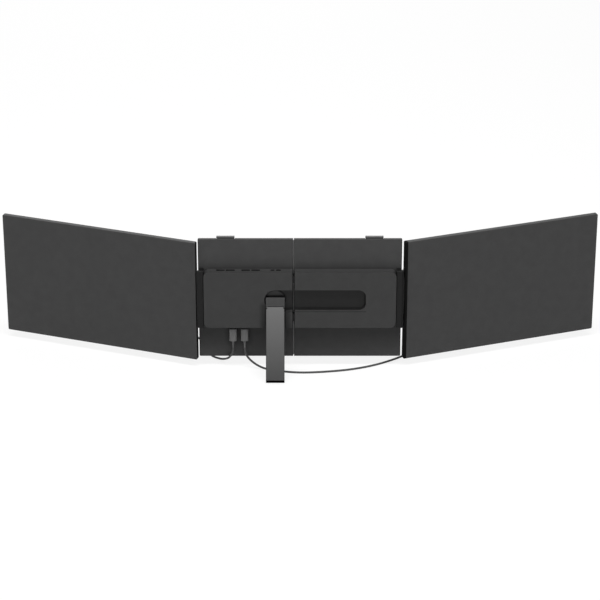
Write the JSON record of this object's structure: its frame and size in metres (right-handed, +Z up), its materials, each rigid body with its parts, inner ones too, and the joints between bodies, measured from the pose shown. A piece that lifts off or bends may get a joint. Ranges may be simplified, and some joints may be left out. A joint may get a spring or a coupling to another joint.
{
  "type": "laptop screen extender",
  "caption": "Hang-on laptop screen extender: a widening bracket with two hinged side screens, lid hooks, a folding kickstand and two cables.",
  "frame": {"origin": "middle of the bracket on the plane of its lid pads, where it grips the laptop's lid", "axes": "+X towards the screen on the left as seen from behind, +Y to the rear, +Z up"},
  "size_m": [0.9203, 0.1717, 0.2169],
  "materials": {
    "hub_plastic": "fine matt texture",
    "plate_plastic": "fine matt texture",
    "cover_plastic": "fine matt texture",
    "screen_shell": "matt texture",
    "dark_trim": "satin",
    "bezel_plastic": "satin",
    "pad_rubber": "soft",
    "foot_rubber": "soft",
    "steel": "plain",
    "hook_metal": "dark anodised satin",
    "spring_steel": "bright",
    "stand_metal": "grey anodised satin",
    "stand_disc": "satin",
    "button_plastic": "satin",
    "circuit_board": "solder mask",
    "display_glass": "glossy",
    "backlight_sheet": "white film",
    "cable_jacket": "soft jacket",
    "plug_body": "satin",
    "screw_steel": "black zinc"
  },
  "bodies": {
    "left_half": {"left_back_plate": "plate_plastic", "left_front_cover": "cover_plastic", "left_lid_pads": "pad_rubber", "left_hub_shell": "hub_plastic", "left_hinge_cap": "dark_trim", "left_cover_screws": "screw_steel", "left_hinge_bracket": "steel", "left_hinge_pins": "steel", "left_hinge_washers": "spring_steel", "left_hook_spring": "spring_steel", "guide_rails": "steel", "button_board": "circuit_board", "tact_switches": "dark_trim", "main_board": "circuit_board", "usb_sockets": "steel", "hub_plugs": "plug_body", "laptop_plugs": "plug_body", "cable_1": "cable_jacket", "cable_2": "cable_jacket", "coil_1": "cable_jacket", "coil_2": "cable_jacket"},
    "right_half": {"right_back_plate": "plate_plastic", "right_front_cover": "cover_plastic", "right_lid_pads": "pad_rubber", "right_hub_shell": "hub_plastic", "right_hinge_cap": "dark_trim", "right_cover_screws": "screw_steel", "right_hinge_bracket": "steel", "right_hinge_pins": "steel", "right_hinge_washers": "spring_steel", "right_hook_spring": "spring_steel", "rail_guides": "cover_plastic"},
    "left_screen": {"left_bezel": "bezel_plastic", "left_back_cover": "screen_shell", "left_lcd_panel": "display_glass", "left_backlight": "backlight_sheet", "left_driver_board": "circuit_board", "left_hinge_leaf": "steel"},
    "right_screen": {"right_bezel": "bezel_plastic", "right_back_cover": "screen_shell", "right_lcd_panel": "display_glass", "right_backlight": "backlight_sheet", "right_driver_board": "circuit_board", "right_hinge_leaf": "steel", "right_screen_edge_strip": "dark_trim"},
    "stand_head": {"stand_disc": "stand_disc", "stand_retainer": "steel", "stand_fold_pin": "steel"},
    "stand_leg": {"stand_leg": "stand_metal", "stand_foot": "foot_rubber"},
    "left_hook": {"left_hook_claw": "hook_metal", "left_hook_arm": "hook_metal"},
    "right_hook": {"right_hook_claw": "hook_metal", "right_hook_arm": "hook_metal"},
    "left_brightness_up_button": {"left_brightness_up_button": "button_plastic"},
    "left_brightness_down_button": {"left_brightness_down_button": "button_plastic"},
    "right_brightness_up_button": {"right_brightness_up_button": "button_plastic"},
    "right_brightness_down_button": {"right_brightness_down_button": "button_plastic"},
    "left_mode_button": {"left_mode_button": "button_plastic"},
    "right_mode_button": {"right_mode_button": "button_plastic"}
  },
  "joints": [
    {"name": "left_screen_hinge", "type": "hinge", "parent": "left_half", "child": "left_screen", "pos_m": [0.1609, 0.00097, 0.0025], "axis": [0, 0, 1], "range_deg": [-160.54, 19.46]},
    {"name": "right_screen_hinge", "type": "hinge", "parent": "right_half", "child": "right_screen", "pos_m": [-0.1609, -0.00474, 0.0025], "axis": [0, 0, -1], "range_deg": [-160.54, 19.46]},
    {"name": "width_slide", "type": "slide", "parent": "left_half", "child": "right_half", "axis": [-1, 0, 0], "range_m": [0, 0.08]},
    {"name": "stand_pivot", "type": "hinge", "parent": "left_half", "child": "stand_head", "pos_m": [0.0376, 0.0132, 0.0027], "axis": [0, -1, 0], "range_deg": [-90, 0]},
    {"name": "stand_fold", "type": "hinge", "parent": "stand_head", "child": "stand_leg", "pos_m": [0.0376, 0.0162, -0.0101], "axis": [1, 0, 0], "range_deg": [-25.5, 34.5]},
    {"name": "left_hook_slide", "type": "slide", "parent": "left_half", "child": "left_hook", "axis": [0, 0, 1], "range_m": [0, 0.035], "stiffness_N_per_m": 150, "springref_m": -0.02, "deforming": ["left_hook_spring"]},
    {"name": "right_hook_slide", "type": "slide", "parent": "right_half", "child": "right_hook", "axis": [0, 0, 1], "range_m": [0, 0.035], "stiffness_N_per_m": 150, "springref_m": -0.02, "deforming": ["right_hook_spring"]},
    {"name": "left_brightness_up_press", "type": "slide", "parent": "left_half", "child": "left_brightness_up_button", "axis": [0, 0, -1], "range_m": [0, 0.0004], "stiffness_N_per_m": 500, "springref_m": -0.0005},
    {"name": "left_brightness_down_press", "type": "slide", "parent": "left_half", "child": "left_brightness_down_button", "axis": [0, 0, -1], "range_m": [0, 0.0004], "stiffness_N_per_m": 500, "springref_m": -0.0005},
    {"name": "right_brightness_up_press", "type": "slide", "parent": "left_half", "child": "right_brightness_up_button", "axis": [0, 0, -1], "range_m": [0, 0.0004], "stiffness_N_per_m": 500, "springref_m": -0.0005},
    {"name": "right_brightness_down_press", "type": "slide", "parent": "left_half", "child": "right_brightness_down_button", "axis": [0, 0, -1], "range_m": [0, 0.0004], "stiffness_N_per_m": 500, "springref_m": -0.0005},
    {"name": "left_mode_press", "type": "slide", "parent": "left_half", "child": "left_mode_button", "axis": [0, 0, -1], "range_m": [0, 0.0004], "stiffness_N_per_m": 500, "springref_m": -0.0005},
    {"name": "right_mode_press", "type": "slide", "parent": "left_half", "child": "right_mode_button", "axis": [0, 0, -1], "range_m": [0, 0.0004], "stiffness_N_per_m": 500, "springref_m": -0.0005}
  ]
}
